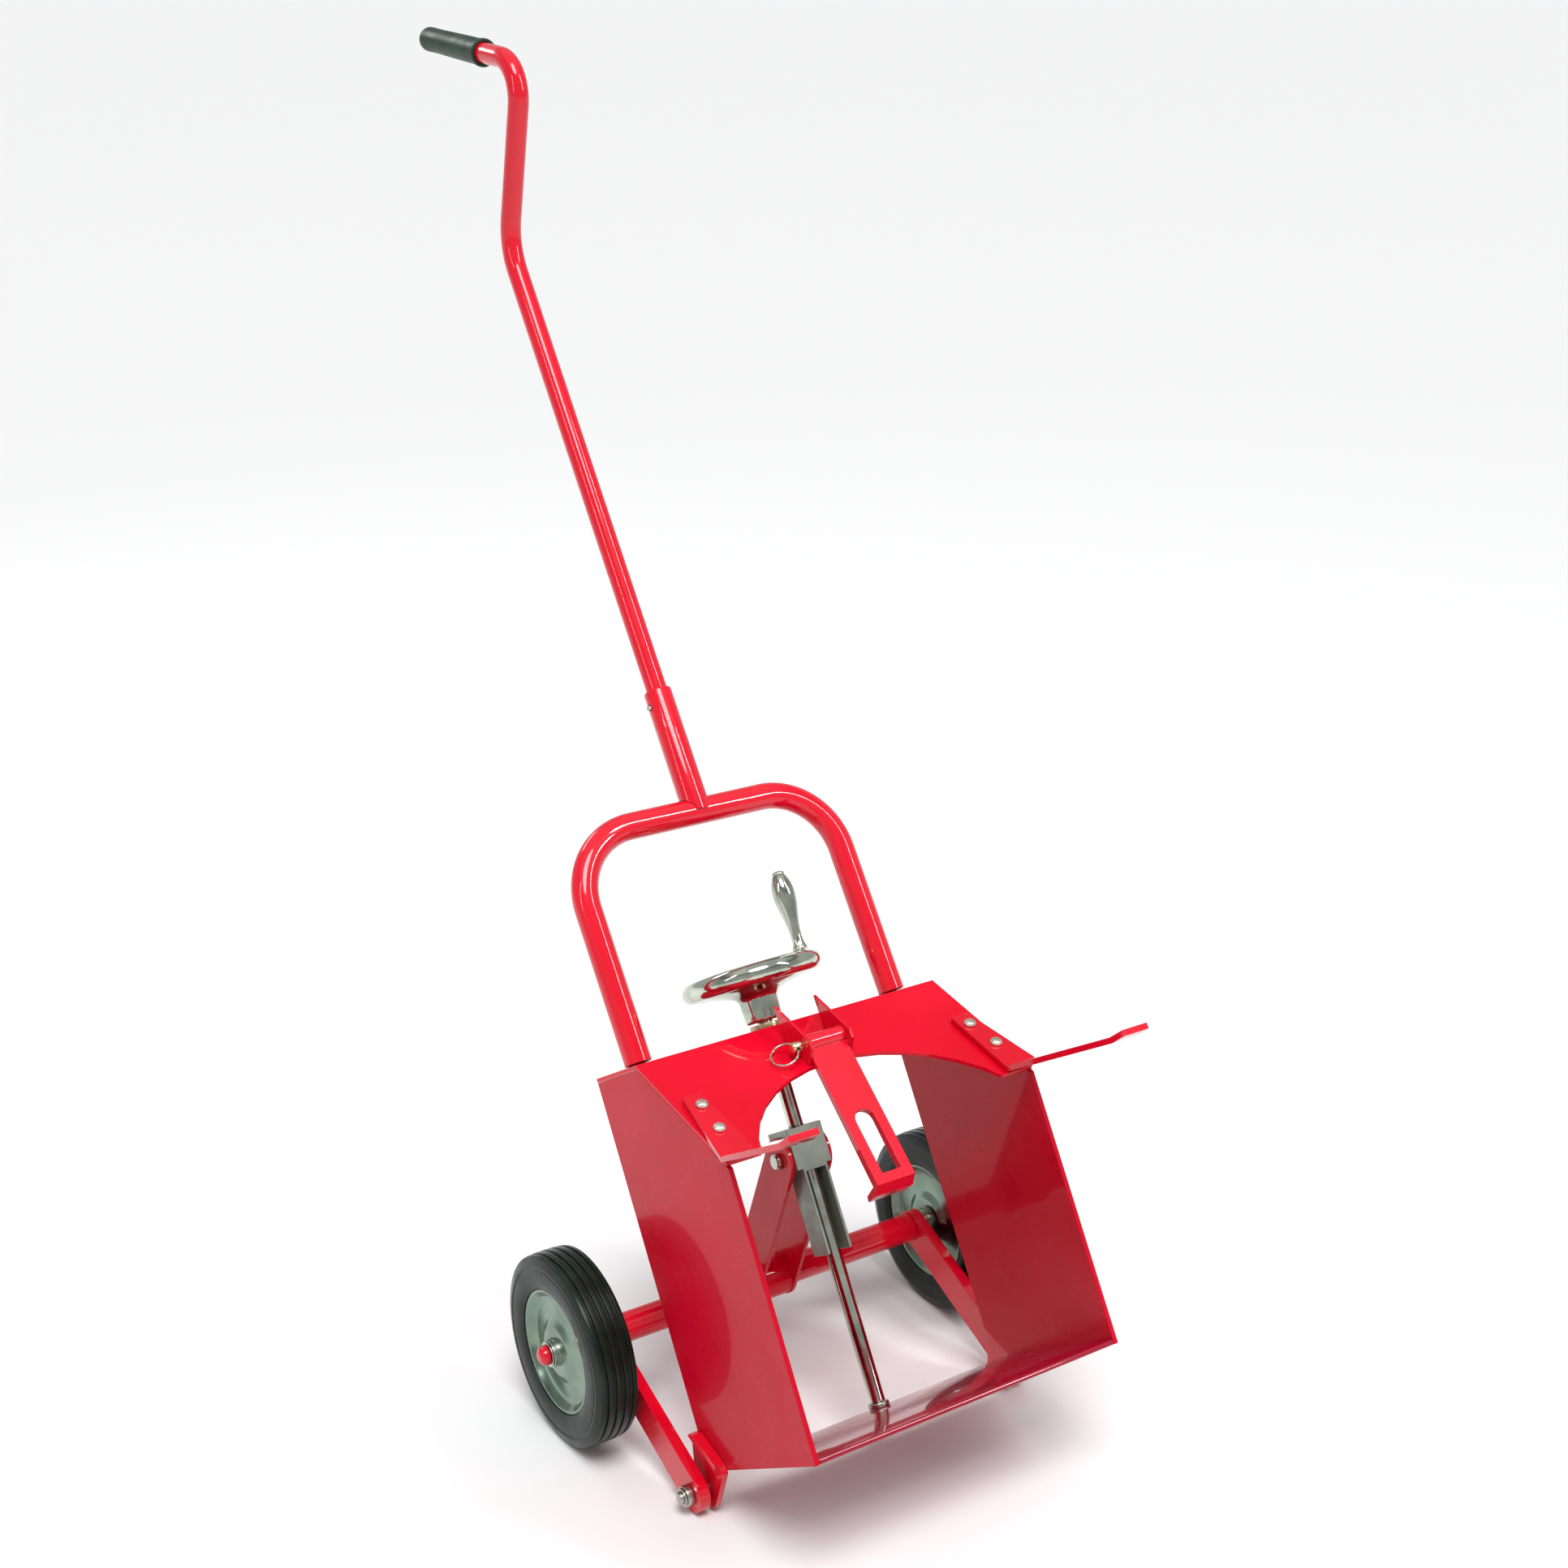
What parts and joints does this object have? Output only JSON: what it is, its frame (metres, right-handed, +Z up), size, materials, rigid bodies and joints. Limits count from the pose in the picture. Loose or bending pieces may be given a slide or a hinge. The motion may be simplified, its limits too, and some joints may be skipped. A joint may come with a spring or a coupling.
{
  "type": "hand truck",
  "caption": "Two-wheeled hand truck with a box frame, forward prongs, slotted hook strap, handwheel screw that tilts the wheel arms, and a cranked pull handle.",
  "frame": {"origin": "on the floor, under the middle of the truck's outline, at rest on its wheels and pivot brackets", "axes": "+Z up, -Y towards the load side (prongs), +Y towards the wheels and the handle, +X to the right seen from the load side's back"},
  "size_m": [0.541, 1.0444, 1.3477],
  "materials": {
    "red_paint": "gloss",
    "zinc_plate": "satin",
    "chrome": "polished",
    "tyre_rubber": "matt",
    "grip_rubber": "matt",
    "bronze": "machined",
    "brass": "satin"
  },
  "bodies": {
    "frame": {"left_side_plate": "red_paint", "right_side_plate": "red_paint", "arch_plate": "red_paint", "shelf_plate": "red_paint", "loop_tube": "red_paint", "handle_socket": "red_paint", "left_pivot_bracket": "red_paint", "right_pivot_bracket": "red_paint", "left_prong": "red_paint", "right_prong": "red_paint", "upper_screw_bearing": "bronze", "lower_screw_boss": "zinc_plate", "strap_bracket": "red_paint", "left_upper_prong_bolt": "zinc_plate", "left_upper_prong_nut": "zinc_plate", "left_lower_prong_bolt": "zinc_plate", "left_lower_prong_nut": "zinc_plate", "left_pivot_pin": "zinc_plate", "left_pivot_collar": "zinc_plate", "left_pivot_clip": "zinc_plate", "right_upper_prong_bolt": "zinc_plate", "right_upper_prong_nut": "zinc_plate", "right_lower_prong_bolt": "zinc_plate", "right_lower_prong_nut": "zinc_plate", "right_pivot_pin": "zinc_plate", "right_pivot_collar": "zinc_plate", "right_pivot_clip": "zinc_plate", "handle_tube": "red_paint", "handle_grip": "grip_rubber", "lock_spring": "zinc_plate"},
    "screw": {"screw_rod": "chrome", "handwheel": "chrome", "handwheel_nut": "zinc_plate", "spinner_pin": "zinc_plate"},
    "spinner": {"spinner_handle": "chrome"},
    "nut_carriage": {"nut_carriage": "zinc_plate", "left_link_bolt": "zinc_plate", "right_link_bolt": "zinc_plate"},
    "link": {"link": "red_paint"},
    "axle_arms": {"axle": "red_paint", "left_arm": "red_paint", "right_arm": "red_paint", "left_wheel_washer": "zinc_plate", "right_wheel_washer": "zinc_plate", "left_axle_cap": "red_paint", "right_axle_cap": "red_paint"},
    "left_wheel": {"left_tyre": "tyre_rubber", "left_wheel_outer_disc": "zinc_plate", "left_wheel_inner_disc": "zinc_plate", "left_wheel_hub": "zinc_plate"},
    "right_wheel": {"right_tyre": "tyre_rubber", "right_wheel_outer_disc": "zinc_plate", "right_wheel_inner_disc": "zinc_plate", "right_wheel_hub": "zinc_plate"},
    "strap": {"hook_strap": "red_paint"},
    "strap_pin": {"strap_pin": "brass"},
    "pin_ring": {"pin_ring": "chrome"},
    "lock_button": {"lock_button": "zinc_plate"}
  },
  "joints": [
    {"name": "screw_spin", "type": "hinge", "parent": "frame", "child": "screw", "pos_m": [0, -0.16414, 0.40256], "axis": [0, 0.5225, 0.8526], "range_deg": [-2700, 2700]},
    {"name": "nut_slide", "type": "slide", "parent": "frame", "child": "nut_carriage", "axis": [0, 0.5225, 0.8526], "range_m": [-0.0302, 0.0302]},
    {"name": "link_pivot", "type": "hinge", "parent": "nut_carriage", "child": "link", "pos_m": [0, -0.22859, 0.27786], "axis": [1, 0, 0], "range_deg": [-7.8, 7.8]},
    {"name": "arm_swing", "type": "hinge", "parent": "frame", "child": "axle_arms", "pos_m": [0, -0.34209, 0.02031], "axis": [1, 0, 0], "range_deg": [-5.7, 5.7]},
    {"name": "left_wheel_spin", "type": "hinge", "parent": "axle_arms", "child": "left_wheel", "pos_m": [-0.232, -0.16342, 0.1], "axis": [1, 0, 0], "continuous": true},
    {"name": "right_wheel_spin", "type": "hinge", "parent": "axle_arms", "child": "right_wheel", "pos_m": [0.232, -0.16342, 0.1], "axis": [1, 0, 0], "continuous": true},
    {"name": "spinner_spin", "type": "hinge", "parent": "screw", "child": "spinner", "pos_m": [0.035, -0.15975, 0.50542], "axis": [0, 0.5225, 0.8526], "continuous": true},
    {"name": "strap_swing", "type": "hinge", "parent": "frame", "child": "strap", "pos_m": [0, -0.26975, 0.42506], "axis": [1, 0, 0], "range_deg": [-110, 0]},
    {"name": "strap_pin_pull", "type": "slide", "parent": "frame", "child": "strap_pin", "axis": [-1, 0, 0], "range_m": [0, 0.058]},
    {"name": "pin_ring_swing", "type": "hinge", "parent": "strap_pin", "child": "pin_ring", "pos_m": [-0.0319, -0.26975, 0.42506], "axis": [0, 0.9852, 0.1716], "range_deg": [0, 110]},
    {"name": "lock_button_press", "type": "slide", "parent": "frame", "child": "lock_button", "axis": [1, 0, 0], "range_m": [0, 0.0028], "stiffness_N_per_m": 600}
  ],
  "couplings": [
    {"joint": "nut_slide", "follows": "screw_spin", "m_per_rad": -0.00063662},
    {"joint": "arm_swing", "follows": "screw_spin", "ratio": -0.0020383},
    {"joint": "link_pivot", "follows": "screw_spin", "ratio": 0.0027968}
  ]
}
